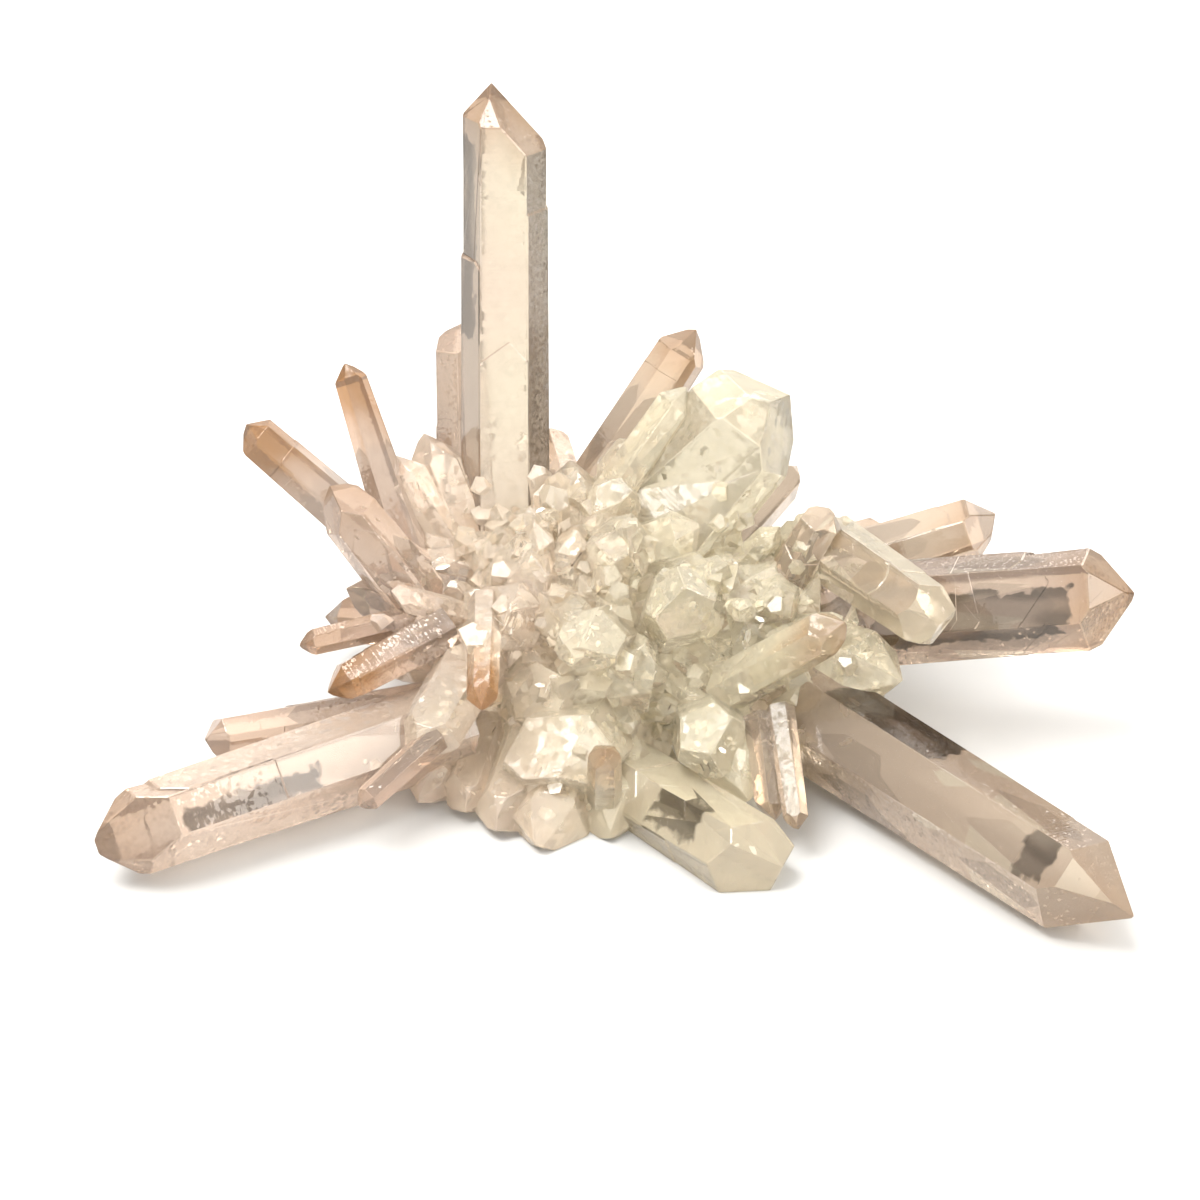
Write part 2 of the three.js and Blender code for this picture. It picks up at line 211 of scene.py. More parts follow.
class ClusterSettings(bpy.types.PropertyGroup):
    """Sizes and colours of the cluster."""

    edge_wear: FloatProperty(
        name="Edge wear", description="Width of the worn edges of a large point, in metres",
        default=0.00012, min=0.0, unit="LENGTH",
    )
    small_crystals: IntProperty(
        name="Small crystals", description="How many small crystals stud the mass", default=300, min=0,
    )
    veils: IntProperty(
        name="Veils", description="How many veils and healed fractures are inside", default=900, min=0,
    )
    cream: FloatVectorProperty(
        name="Cream", description="Colour of the quartz at the middle and right", subtype="COLOR",
        default=(0.975, 0.9, 0.7), min=0.0, max=1.0,
    )
    blush: FloatVectorProperty(
        name="Blush", description="Colour of the quartz at the left", subtype="COLOR",
        default=(0.97, 0.8, 0.66), min=0.0, max=1.0,
    )
    champagne: FloatVectorProperty(
        name="Champagne", description="Colour of the long points", subtype="COLOR",
        default=(0.72, 0.53, 0.41), min=0.0, max=1.0,
    )
    # The colour of painted shade and painted dark reflections: each face's painted shade, the dark windows and the
    # dark inner facets blend towards it.
    painted_shade: FloatVectorProperty(
        name="Dusk", description="Colour of the darkest faces", subtype="COLOR",
        default=(0.026, 0.017, 0.01), min=0.0, max=1.0,
    )
    iron: FloatVectorProperty(
        name="Iron stain", description="Colour of the stain at the tips", subtype="COLOR",
        default=(0.53, 0.28, 0.115), min=0.0, max=1.0,
    )


def seeded(seed):
    """A repeatable source of numbers from 0 to 1."""
    mask = 0xFFFFFFFF
    state = seed

    def chance():
        nonlocal state
        state = (state + 0x6D2B79F5) & mask
        t = ((state ^ (state >> 15)) * (1 | state)) & mask
        t = ((t + (((t ^ (t >> 7)) * (61 | t)) & mask)) & mask) ^ t
        return (t ^ (t >> 14)) / 4294967296

    return chance


def standing(point):
    """From across, up and out in millimetres to the standing cluster's place in metres."""
    across, up, out = point
    return Vector((
        across,
        up * math.sin(LEAN) - out * math.cos(LEAN),
        up * math.cos(LEAN) + out * math.sin(LEAN) + BASE_DROP,
    )) * MM


OUTWARD = (standing((0, 0, 1)) - standing((0, 0, 0))).normalized()
UPWARD = Vector((0, 0, 1))


class Crystal:
    """One quartz crystal: its frame, its faces and its finish."""

    def __init__(self, row, chance, finish=CLEAR):
        self.foot = standing(row["root"])
        axis = standing(row["tip"]) - self.foot
        self.length = axis.length
        axis.normalize()
        front = (OUTWARD if abs(axis.dot(OUTWARD)) < HEAD_ON else UPWARD).copy()
        front = (front - axis * front.dot(axis)).normalized()
        side = axis.cross(front)
        self.matrix = Matrix.Translation(self.foot) @ Matrix((front, side, axis)).transposed().to_4x4()
        self.width = row["width"] * MM
        self.inner = self.width / 2 * math.cos(math.pi / SIDES)
        self.slope = math.radians(row.get("slope", TIP_SLOPE))
        self.taper = math.tan(math.radians(row.get("taper", 1)))
        self.blunt = row.get("blunt")
        self.stain = row.get("stain", 0.0)
        contrast, champagne = CLEAR_LOOK if finish == CLEAR else MILKY_LOOK
        self.contrast = row.get("contrast", contrast)
        self.faces = row.get("faces", {})
        self.windows = row.get("windows", {})
        self.champagne = row.get("champagne", champagne)
        self.family = None
        self.finish = finish
        self.walls = []
        self.caps = []
        for k in range(SIDES):
            turn = math.radians(row["roll"]) + k * 2 * math.pi / SIDES
            self.walls.append((turn, self.inner * (1 + UNEVEN_SIDES * (chance() - 0.5))))
            if k % (SIDES // row.get("caps", SIDES)):
                continue
            if "lifts" in row:
                lift = row["lifts"][k] * MM
            else:
                lift = -LOW_CAP * self.inner * (k % 2) * chance()
                lift -= row.get("uneven", ANY_CAP) * self.inner * chance()
            self.caps.append((turn, lift))

    def face_number(self, normal):
        """Which face looks most nearly that way: 0 to 5 are the prism faces, 6 to 11 the tip faces."""
        best, number = SAME_WAY, REST
        for k, (turn, _) in enumerate(self.walls):
            match = normal.x * math.cos(turn) + normal.y * math.sin(turn)
            if match > best:
                best, number = match, k
        for k, (turn, _) in enumerate(self.caps):
            match = (normal.x * math.cos(turn) + normal.y * math.sin(turn)) * math.sin(self.slope)
            match += normal.z * math.cos(self.slope)
            if match > best:
                best, number = match, SIDES + k
        return number

    def planes(self):
        """A point on each face and the way it faces, in the crystal's own frame."""
        top = self.length
        for turn, reach in self.walls:
            flat = Vector((math.cos(turn), math.sin(turn), 0))
            yield flat * reach + UPWARD * top, flat + UPWARD * self.taper
        for turn, lift in self.caps:
            flat = Vector((math.cos(turn), math.sin(turn), 0))
            yield UPWARD * (top + lift), flat * math.sin(self.slope) + UPWARD * math.cos(self.slope)
        if self.blunt:
            front, side, short = self.blunt
            yield UPWARD * (top - short * MM), Vector((front, side, 1))

    def mesh(self, wear):
        """The closed crystal, cut from a block face by face, with its edges worn."""
        bm = bmesh.new()
        bmesh.ops.create_cube(bm, size=1)
        block = (self.width * 2, self.width * 2, self.length * 1.2)
        bmesh.ops.scale(bm, vec=block, verts=bm.verts)
        bmesh.ops.translate(bm, vec=(0, 0, block[2] / 2), verts=bm.verts)
        for point, normal in self.planes():
            whole = bm.verts[:] + bm.edges[:] + bm.faces[:]
            cut = bmesh.ops.bisect_plane(
                bm, geom=whole, dist=WELD, plane_co=point, plane_no=normal.normalized(), clear_outer=True,
            )
            rim = [part for part in cut["geom_cut"] if isinstance(part, bmesh.types.BMEdge)]
            if len(rim) > 2:
                bmesh.ops.contextual_create(bm, geom=rim)
        if wear:
            bmesh.ops.bevel(
                bm, geom=bm.edges[:], offset=wear, affect="EDGES", segments=1, profile=0.5, material=-1,
                clamp_overlap=True,
            )
        bmesh.ops.recalc_face_normals(bm, faces=bm.faces)
        bmesh.ops.transform(bm, matrix=self.matrix, verts=bm.verts)
        return bm


def between(chance, low, high):
    """The next number from low to high."""
    return low + (high - low) * chance()


def crowd_crystal(crowd, i, chance):
    """One of a crowd: it stands on a heart of the mass and leans from the straight way out."""
    heart = HEARTS[0 if i % 5 < 3 else 1]
    up = 1 - (2 * i + 1) / crowd["count"]
    ring = math.sqrt(1 - up * up)
    away = (ring * math.cos(i * GOLDEN_TURN), up, ring * math.sin(i * GOLDEN_TURN))
    height = between(chance, *crowd["stand"])
    sway = crowd["sway"]
    places = list(zip(away, heart["middle"], heart["size"]))
    root = [middle + part * size * ROOT_SHARE + between(chance, -sway, sway) for part, middle, size in places]
    tip = [
        middle + part * size * height + between(chance, -sway, sway) * TIP_SWAY for part, middle, size in places
    ]
    row = {
        "root": root, "tip": tip, "width": between(chance, *crowd["widths"]),
        "roll": between(chance, 0, 60), "caps": crowd["caps"], "uneven": RAGGED_CAP,
    }
    return Crystal(row, chance, MILKY)


def grow_main():
    """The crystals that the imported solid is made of."""
    chance = seeded(8)
    crystals = [Crystal(row, chance) for row in POINTS]
    crystals += [Crystal(row, chance, MILKY) for row in BLOCKS]
    crystals += [Crystal(row, chance) for row in BACK_POINTS]
    for crowd in CROWDS:
        crystals += [crowd_crystal(crowd, i, chance) for i in range(crowd["count"])]
    return crystals


def terraces(crystal, chance):
    """Growth steps: thin plates that stop short of the tip, on one or two faces of a large point."""
    steps = []
    for _ in range(STEPS["count"]):
        step = Crystal.__new__(Crystal)
        step.__dict__.update(crystal.__dict__)
        step.length = crystal.length * between(chance, *STEPS["reach"])
        step.family = crystal
        raised = int(chance() * SIDES)
        height = between(chance, *STEPS["height"]) * MM
        pinch = crystal.taper * (crystal.length - step.length)
        step.walls = [
            (turn, reach + pinch + (height if k in (raised, (raised + 1) % SIDES) else -STEPS["sunk"] * MM))
            for k, (turn, reach) in enumerate(crystal.walls)
        ]
        slant = STEPS["slant"]
        step.blunt = (between(chance, -slant, slant), between(chance, -slant, slant), crystal.inner / MM)
        steps.append(step)
    return steps


def join(name, shapes, marks, body=None):
    """One closed mesh from many crystals, on a body if there is one. Each face keeps its crystal's number."""
    meshes = []
    if body:
        meshes.append(bpy.data.meshes.new(name))
        body.to_mesh(meshes[0])
        body.free()
    for shape, mark in zip(shapes, marks):
        layer = shape.faces.layers.int.new("crystal")
        for face in shape.faces:
            face[layer] = mark
        meshes.append(bpy.data.meshes.new(f"{name}_{mark}"))
        shape.to_mesh(meshes[-1])
        shape.free()
    base, *others = (bpy.data.objects.new(mesh.name, mesh) for mesh in meshes)
    parts = bpy.data.collections.new(name + "_parts")
    bpy.context.scene.collection.objects.link(base)
    bpy.context.scene.collection.children.link(parts)
    for ob in others:
        parts.objects.link(ob)
    union = base.modifiers.new("grown together", "BOOLEAN")
    union.operation = "UNION"
    union.solver = "MANIFOLD"
    union.operand_type = "COLLECTION"
    union.collection = parts
    joined = bmesh.new()
    joined.from_object(base, bpy.context.evaluated_depsgraph_get())
    for mesh in meshes:
        bpy.data.meshes.remove(mesh)
    bpy.data.collections.remove(parts)
    return joined


def keep_largest(bm):
    """Deletes whatever isn't joined to the largest body."""
    bm.verts.ensure_lookup_table()
    seen = set()
    islands = []
    for start in bm.verts:
        if start in seen:
            continue
        stack, island = [start], []
        seen.add(start)
        while stack:
            vert = stack.pop()
            island.append(vert)
            for edge in vert.link_edges:
                other = edge.other_vert(vert)
                if other not in seen:
                    seen.add(other)
                    stack.append(other)
        islands.append(island)
    islands.sort(key=len)
    for island in islands[:-1]:
        bmesh.ops.delete(bm, geom=island, context="VERTS")


def cut_base(bm):
    """The flat broken base at Z = 0."""
    whole = bm.verts[:] + bm.edges[:] + bm.faces[:]
    cut = bmesh.ops.bisect_plane(
        bm, geom=whole, dist=WELD, plane_co=(0, 0, 0), plane_no=(0, 0, -1), clear_outer=True,
    )
    rim = [part for part in cut["geom_cut"] if isinstance(part, bmesh.types.BMEdge)]
    return bmesh.ops.triangle_fill(bm, edges=rim, use_beauty=True)


def link(name, bm):
    """A visible piece of the cluster, made from a bmesh."""
    mesh = bpy.data.meshes.new(name)
    bm.to_mesh(mesh)
    bm.free()
    piece = bpy.data.objects.new(name, mesh)
    bpy.context.scene.collection.objects.link(piece)
    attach(piece, BODY)
    return piece


def small_rows(bm, count, chance):
    """Places for the small crystals that stud the mass: on its surface, leaning out of it."""
    tree = BVHTree.FromBMesh(bm)
    rows = []
    while len(rows) < count:
        heart = HEARTS[0 if chance() < STUDS["first heart"] else 1]
        up = between(chance, -1, 1)
        turn = between(chance, 0, 2 * math.pi)
        ring = math.sqrt(1 - up * up)
        away = (ring * math.cos(turn), up, ring * math.sin(turn))
        far = standing([m + a * s * 2 for m, a, s in zip(heart["middle"], away, heart["size"])])
        middle = standing(heart["middle"])
        hit, normal, _, _ = tree.ray_cast(far, (middle - far).normalized())
        if hit is None or hit.z < STUDS["least height"] * MM:
            continue
        if (hit - middle).length > (far - middle).length * STUDS["reach"]:
            continue
        lean = (normal + (far - middle).normalized() * between(chance, *STUDS["lean"])).normalized()
        stray = Vector([between(chance, -STUDS["stray"], STUDS["stray"]) for _ in range(3)])
        lean = (lean + stray).normalized()
        width = between(chance, *STUDS["widths"]) * between(chance, *STUDS["spread"])
        stand = width * between(chance, *STUDS["stand"])
        rows.append((hit - lean * MM * STUDS["root"], hit + lean * MM * stand, width))
    return rows


def stud(root, tip, width, chance):
    """A small crystal between two places in metres."""
    def laid(place):
        x, y, z = place / MM
        z -= BASE_DROP
        return x, y * math.sin(LEAN) + z * math.cos(LEAN), z * math.sin(LEAN) - y * math.cos(LEAN)

    row = {"root": laid(root), "tip": laid(tip), "width": width, "roll": between(chance, 0, 60), "caps": 3,
           "uneven": STUD_CAP}
    return Crystal(row, chance, MILKY)


def lay_growth(bm, crystals):
    """Marks every face with its crystal's finish, stain and frost, its painted shade, champagne and painted dark
    window, and lays a map along the way it grew.
    """
    owner = bm.faces.layers.int["crystal"]
    grain = bm.loops.layers.uv.new("growth")
    traits = bm.loops.layers.float_color.new("traits")
    windows = bm.loops.layers.float_color.new("windows")
    chance = seeded(21)
    looks = {}
    inward = [crystal.matrix.inverted() for crystal in crystals]
    for face in bm.faces:
        mark = face[owner]
        crystal = crystals[mark]
        centre = face.calc_center_median()
        face.smooth = False
        normal = inward[mark].to_3x3() @ face.normal
        across = Vector((-normal.y, normal.x, 0))
        across = across.normalized() if across.length > LEAST_LEAN else Vector((1, 0, 0))
        family = crystal.family or crystal
        number = crystal.face_number(normal)
        if (family, number) not in looks:
            # A plain face gets a random painted shade; the faces tables set it for chosen faces.
            plain = (chance() ** 2 * crystal.contrast, between(chance, *family.finish), family.champagne)
            looks[family, number] = family.faces.get(number, plain)
        painted_face_shade, frost, champagne = looks[family, number]
        if face.normal.z < STRAIGHT_DOWN and centre.z < AT_BASE:
            frost = BROKEN
        window = family.windows.get(number, NO_WINDOW)
        for loop in face.loops:
            local = inward[mark] @ loop.vert.co
            loop[windows] = window
            loop[grain].uv = (local.dot(across) / MM, (family.length - local.z) / MM)
            loop[traits] = (crystal.stain, frost, painted_face_shade, champagne)


# Painted dark windows, painted dark reflections on clean faces: grain, middle and reach in millimetres of their
# ragged edges, and how their depth varies inside.
RAGGED_GRAIN = 0.5
RAGGED_MIDDLE = 0.45
RAGGED_REACH = 2.4
INNER_STRETCH = (0.3, 0.1, 1.0)
INNER_DEPTH = (0.3, 0.6, 0.87, 1.0)
# Inner facets, painted light and shade standing in for reflections inside a clear point: how they lie, and which of
# them are painted light.
FACET_TURN = math.radians(24)
FACET_STRETCH = (0.34, 0.13, 1.0)
FACET_LIGHT = 0.72
# Tint: where cream turns to blush, how ragged that and the stain's edge are, and how dark each mark can be: the
# painted dark windows, the painted dark inner facets and the crackle.
BLUSH_EDGE = (0.004, -0.024)
CLOUD_GRAIN = 55.0
CLOUD_REACH = 0.03
PATCH_GRAIN = 0.16
PATCH_REACH = 9.0
STAIN_FULL = 0.5
WINDOW_DARK = 0.86
WINDOW_DARKER = 0.12
FACET_DARK = 0.75
CRACKLE_DARK = 0.07
# Striations: how fine they are across and along the crystal, and their depth on a clean face.
STRIATION_STRETCH = (0.12, 2.4, 1.0)
CLEAN_DEPTH = 0.04
# Frost: the grain and strength of its patches, and where it starts and is full.
FROST_GRAIN = 0.26
FROST_PATCHES = 0.6
FROST_EDGE = (0.45, 0.75)
# Shards: how many are left out of an etched face, and how far those on a clean face tilt.
SHARD_ODDS = 0.7
CLEAN_TILT = 0.03
# The quartz itself: its roughness where it is clean and where it is etched, its bump and what it absorbs.
ROUGHNESS = (0.03, 0.27)
BUMP = {"Strength": 0.6, "Distance": 0.00006}
CLEARNESS = {"Transmission Weight": 0.76, "IOR": 1.544}
ABSORPTION = {"Color": (0.96, 0.88, 0.77, 1), "Density": 7.0}
# Plain specks: colours, grain, where the grain turns from one colour to the other, and roughness.
VEIL = ((0.80, 0.72, 0.60, 1), (0.98, 0.95, 0.88, 1), 1500.0, (0.35, 0.65), (0.15, 0.5))
GRAIN_MIDDLE = (0.3, 0.7)
NEEDLE = ((0.03, 0.024, 0.02, 1), (0.14, 0.07, 0.035, 1), 4000.0, (0.4, 0.7), (0.3, 0.6))


def nodes_of(material):
    """An empty node tree for a material."""
    material.use_nodes = True
    tree = material.node_tree
    tree.nodes.clear()
    return tree


def node(tree, kind, inputs=None, **settings):
    """A node with its settings, and its inputs either linked or set."""
    made = tree.nodes.new(kind)
    for key, value in settings.items():
        setattr(made, key, value)
    for key, value in (inputs or {}).items():
        if isinstance(value, bpy.types.NodeSocket):
            tree.links.new(value, made.inputs[key])
        else:
            made.inputs[key].default_value = value
    return made


def maths(tree, operation, a, b=0.0, clamp=False):
    """The result of one sum."""
    return node(tree, "ShaderNodeMath", {0: a, 1: b}, operation=operation, use_clamp=clamp).outputs[0]


def ramp(tree, value, low, high, start=0.0, end=1.0):
    """Eases from start to end while the value goes from low to high."""
    return node(
        tree, "ShaderNodeMapRange",
        {"Value": value, "From Min": low, "From Max": high, "To Min": start, "To Max": end},
        interpolation_type="SMOOTHSTEP",
    ).outputs["Result"]


def blend_colours(tree, share, a, b):
    """Colour a with a share of colour b in its place."""
    made = node(tree, "ShaderNodeMix", data_type="RGBA")
    for socket, value in ((made.inputs[0], share), (made.inputs[6], a), (made.inputs[7], b)):
        if isinstance(value, bpy.types.NodeSocket):
            tree.links.new(value, socket)
        else:
            socket.default_value = value
    return made.outputs[2]


def group(name, inputs, outputs):
    """A node group with named sockets. An input has its name, kind and default, an output its name and kind."""
    made = bpy.data.node_groups.new(name, "ShaderNodeTree")
    for label, kind, default in inputs:
        socket = made.interface.new_socket(label, in_out="INPUT", socket_type=kind)
        if default is not None:
            socket.default_value = default
    for label, kind in outputs:
        made.interface.new_socket(label, in_out="OUTPUT", socket_type=kind)
    return made, made.nodes.new("NodeGroupInput"), made.nodes.new("NodeGroupOutput")


def growth_map(tree):
    """The map along the way that the crystal grew: across the face, and down it from the tip, in millimetres."""
    return node(tree, "ShaderNodeUVMap", uv_map="growth").outputs["UV"]


def traits_of(tree):
    """Each face's stain, frost and painted shade, and how champagne it is."""
    traits = node(tree, "ShaderNodeAttribute", attribute_name="traits")
    parts = node(tree, "ShaderNodeSeparateColor", {0: traits.outputs["Color"]}).outputs
    return parts["Red"], parts["Green"], parts["Blue"], traits.outputs["Alpha"]


def flat_noise(tree, place, scale, detail):
    """Noise in two dimensions on the growth map."""
    inputs = {"Vector": place, "Scale": scale, "Detail": detail}
    return node(tree, "ShaderNodeTexNoise", inputs, noise_dimensions="2D").outputs["Fac"]


def window_group():
    """Dark Window: a painted dark reflection, where a clean face would show the dark inside. The windows attribute
    holds its four sides.
    """
    made, inside, outside = group(
        "Dark Window",
        [("Softness", "NodeSocketFloat", 0.75)],
        [("Mask", "NodeSocketFloat")],
    )
    soft = inside.outputs["Softness"]
    growth = growth_map(made)
    ragged = flat_noise(made, growth, RAGGED_GRAIN, 2.0)
    waver = maths(made, "MULTIPLY", maths(made, "SUBTRACT", ragged, RAGGED_MIDDLE), RAGGED_REACH)
    place = node(made, "ShaderNodeSeparateXYZ", {0: growth}).outputs
    sides = node(made, "ShaderNodeAttribute", attribute_name="windows")
    near, far, top = node(made, "ShaderNodeSeparateColor", {0: sides.outputs["Color"]}).outputs
    across = maths(made, "ADD", place["X"], waver)
    down = maths(made, "ADD", place["Y"], waver)
    gaps = (
        maths(made, "SUBTRACT", across, near), maths(made, "SUBTRACT", far, across),
        maths(made, "SUBTRACT", down, top), maths(made, "SUBTRACT", sides.outputs["Alpha"], down),
    )
    across_least = maths(made, "MINIMUM", gaps[0], gaps[1])
    down_least = maths(made, "MINIMUM", gaps[2], gaps[3])
    least = maths(made, "MINIMUM", across_least, down_least)
    inner = node(made, "ShaderNodeMapping", {"Vector": growth, "Scale": INNER_STRETCH}).outputs[0]
    depth = ramp(made, flat_noise(made, inner, 1.0, 1.0), *INNER_DEPTH)
    mask = maths(made, "MULTIPLY", maths(made, "DIVIDE", least, soft, clamp=True), depth)
    made.links.new(mask, outside.inputs["Mask"])
    return made


def facet_group():
    """Inner Facets: painted slanted patches of light and dark, standing in for a clear point's far faces seen through
    its near ones.
    """
    made, inside, outside = group(
        "Inner Facets",
        [("Share", "NodeSocketFloat", 0.36)],
        [("Dark", "NodeSocketFloat"), ("Light", "NodeSocketFloat")],
    )
    lie = {"Vector": growth_map(made), "Rotation": (0, 0, FACET_TURN), "Scale": FACET_STRETCH}
    slanted = node(made, "ShaderNodeMapping", lie).outputs[0]
    cells = node(made, "ShaderNodeTexVoronoi", {"Vector": slanted, "Scale": 1.0}, voronoi_dimensions="2D")
    odds = node(made, "ShaderNodeSeparateColor", {0: cells.outputs["Color"]}).outputs
    long = traits_of(made)[3]
    dark = maths(made, "MULTIPLY", maths(made, "LESS_THAN", odds["Red"], inside.outputs["Share"]), odds["Green"])
    light = maths(made, "MULTIPLY", maths(made, "GREATER_THAN", odds["Red"], FACET_LIGHT), odds["Green"])
    made.links.new(maths(made, "MULTIPLY", dark, long), outside.inputs["Dark"])
    made.links.new(light, outside.inputs["Light"])
    return made


def tint_group(settings):
    """Quartz Tint: cream quartz that turns to blush at the left, with iron stain towards the tips, darker where
    crazed, and painted shade, painted dark reflections and painted light from each face's shade, the dark windows and
    the inner facets.
    """
    made, inside, outside = group(
        "Quartz Tint",
        [("Stain Reach", "NodeSocketFloat", 11.0), ("Window", "NodeSocketFloat", 0.0),
         ("Dark", "NodeSocketFloat", 0.0), ("Light", "NodeSocketFloat", 0.0),
         ("Crackle", "NodeSocketFloat", 0.0)],
        [("Color", "NodeSocketColor")],
    )
    place = node(made, "ShaderNodeTexCoord").outputs["Object"]
    x = node(made, "ShaderNodeSeparateXYZ", {0: place}).outputs["X"]
    cloud = node(made, "ShaderNodeTexNoise", {"Vector": place, "Scale": CLOUD_GRAIN, "Detail": 0.0}).outputs["Fac"]
    shifted = maths(made, "ADD", x, maths(made, "MULTIPLY", maths(made, "SUBTRACT", cloud, 0.5), CLOUD_REACH))
    left = ramp(made, shifted, *BLUSH_EDGE)
    body = blend_colours(made, left, (*settings.cream, 1), (*settings.blush, 1))
    stain, _, painted_face_shade, long = traits_of(made)
    # Painted dark windows are darker on long points.
    window_dark = maths(made, "MULTIPLY_ADD", long, WINDOW_DARKER)
    window_dark.node.inputs[2].default_value = WINDOW_DARK
    # Painted light: the light inner facets take out the champagne, so they read paler.
    long = maths(made, "MULTIPLY", long, maths(made, "SUBTRACT", 1.0, inside.outputs["Light"]))
    body = blend_colours(made, long, body, (*settings.champagne, 1))
    growth = growth_map(made)
    from_tip = node(made, "ShaderNodeSeparateXYZ", {0: growth}).outputs["Y"]
    patch = flat_noise(made, growth, PATCH_GRAIN, 1.0)
    reach = maths(made, "ADD", from_tip, maths(made, "MULTIPLY", maths(made, "SUBTRACT", patch, 0.5), PATCH_REACH))
    share = maths(made, "MULTIPLY", ramp(made, reach, inside.outputs["Stain Reach"], STAIN_FULL), stain, clamp=True)
    stained = blend_colours(made, share, body, (*settings.iron, 1))
    facets = maths(made, "MULTIPLY", inside.outputs["Dark"], FACET_DARK)
    dark = maths(made, "MAXIMUM", facets, maths(made, "MULTIPLY", inside.outputs["Window"], window_dark))
    # Painted shade: the face's own painted shade, the painted dark windows and the painted dark inner facets darken
    # the colour towards the painted shade colour.
    dark = maths(made, "MAXIMUM", painted_face_shade, dark)
    dark = maths(made, "ADD", dark, maths(made, "MULTIPLY", inside.outputs["Crackle"], CRACKLE_DARK), clamp=True)
    made.links.new(blend_colours(made, dark, stained, (*settings.painted_shade, 1)), outside.inputs["Color"])
    return made


def striation_group():
    """Growth Striations: fine steps across the faces, that crowd and fade along the crystal."""
    made, inside, outside = group(
        "Growth Striations",
        [("Fineness", "NodeSocketFloat", 1.0)],
        [("Height", "NodeSocketFloat")],
    )
    lines = node(made, "ShaderNodeMapping", {"Vector": growth_map(made), "Scale": STRIATION_STRETCH}).outputs[0]
    steps = flat_noise(made, lines, inside.outputs["Fineness"], 1.0)
    depth = maths(made, "ADD", traits_of(made)[1], CLEAN_DEPTH, clamp=True)
    made.links.new(maths(made, "MULTIPLY", steps, depth), outside.inputs["Height"])
    return made


def frost_group():
    """Etched Frost: where the face is etched. Each face has its own share of it, in the traits attribute."""
    made, inside, outside = group(
        "Etched Frost",
        [("Cover", "NodeSocketFloat", 0.55)],
        [("Mask", "NodeSocketFloat")],
    )
    patches = flat_noise(made, growth_map(made), FROST_GRAIN, 2.0)
    own = maths(made, "MULTIPLY", traits_of(made)[1], inside.outputs["Cover"])
    level = maths(made, "ADD", maths(made, "MULTIPLY", patches, FROST_PATCHES), own)
    made.links.new(ramp(made, level, *FROST_EDGE), outside.inputs["Mask"])
    return made


def shard_group():
    """Fracture Shards: small flat chips, each tilted its own way, that glint where a face is crazed or etched."""
    made, inside, outside = group(
        "Fracture Shards",
        [("Coarse", "NodeSocketFloat", 1.2), ("Fine", "NodeSocketFloat", 2.6), ("Tilt", "NodeSocketFloat", 16.0)],
        [("Height", "NodeSocketFloat"), ("Crackle", "NodeSocketFloat")],
    )
    place = growth_map(made)
    _, frost, _, long = traits_of(made)
    scale = maths(made, "MULTIPLY_ADD", long, inside.outputs["Fine"])
    made.links.new(inside.outputs["Coarse"], scale.node.inputs[2])
    cells = node(made, "ShaderNodeTexVoronoi", {"Vector": place, "Scale": scale}, voronoi_dimensions="2D")
    away = node(made, "ShaderNodeVectorMath", {0: place, 1: cells.outputs["Position"]}, operation="SUBTRACT")
    tilt = node(made, "ShaderNodeVectorMath", {0: cells.outputs["Color"], 1: (0.5, 0.5, 0.5)}, operation="SUBTRACT")
    rise = node(made, "ShaderNodeVectorMath", {0: away.outputs[0], 1: tilt.outputs[0]}, operation="DOT_PRODUCT")
    odds = node(made, "ShaderNodeSeparateColor", {0: cells.outputs["Color"]}).outputs["Blue"]
    crazed = maths(made, "SUBTRACT", frost, maths(made, "MULTIPLY", odds, SHARD_ODDS), clamp=True)
    made.links.new(crazed, outside.inputs["Crackle"])
    strength = maths(made, "MULTIPLY", maths(made, "ADD", crazed, CLEAN_TILT), inside.outputs["Tilt"])
    made.links.new(maths(made, "MULTIPLY", rise.outputs["Value"], strength), outside.inputs["Height"])
    return made


def quartz_material(settings):
    """Natural quartz, clear where its faces are clean and frosted where they are etched."""
    material = bpy.data.materials.new("natural quartz")
    material.cycles.homogeneous_volume = True
    tree = nodes_of(material)
    groups = (tint_group(settings), striation_group(), frost_group(), shard_group(), window_group(), facet_group())
    tint, striations, frost, chips, window, facets = (
        node(tree, "ShaderNodeGroup", node_tree=made) for made in groups
    )
    tree.links.new(window.outputs["Mask"], tint.inputs["Window"])
    for name in ("Dark", "Light"):
        tree.links.new(facets.outputs[name], tint.inputs[name])
    tree.links.new(chips.outputs["Crackle"], tint.inputs["Crackle"])
    roughness = ramp(tree, frost.outputs["Mask"], 0.0, 1.0, *ROUGHNESS)
    height = maths(tree, "ADD", striations.outputs["Height"], chips.outputs["Height"])
    bump = node(tree, "ShaderNodeBump", {"Height": height, **BUMP})
    shader = node(
        tree, "ShaderNodeBsdfPrincipled",
        {
            "Base Color": tint.outputs["Color"], "Roughness": roughness, "Normal": bump.outputs["Normal"],
            **CLEARNESS,
        },
    )
    depth = node(tree, "ShaderNodeVolumeAbsorption", ABSORPTION)
    node(tree, "ShaderNodeOutputMaterial", {"Surface": shader.outputs[0], "Volume": depth.outputs[0]})
    return material


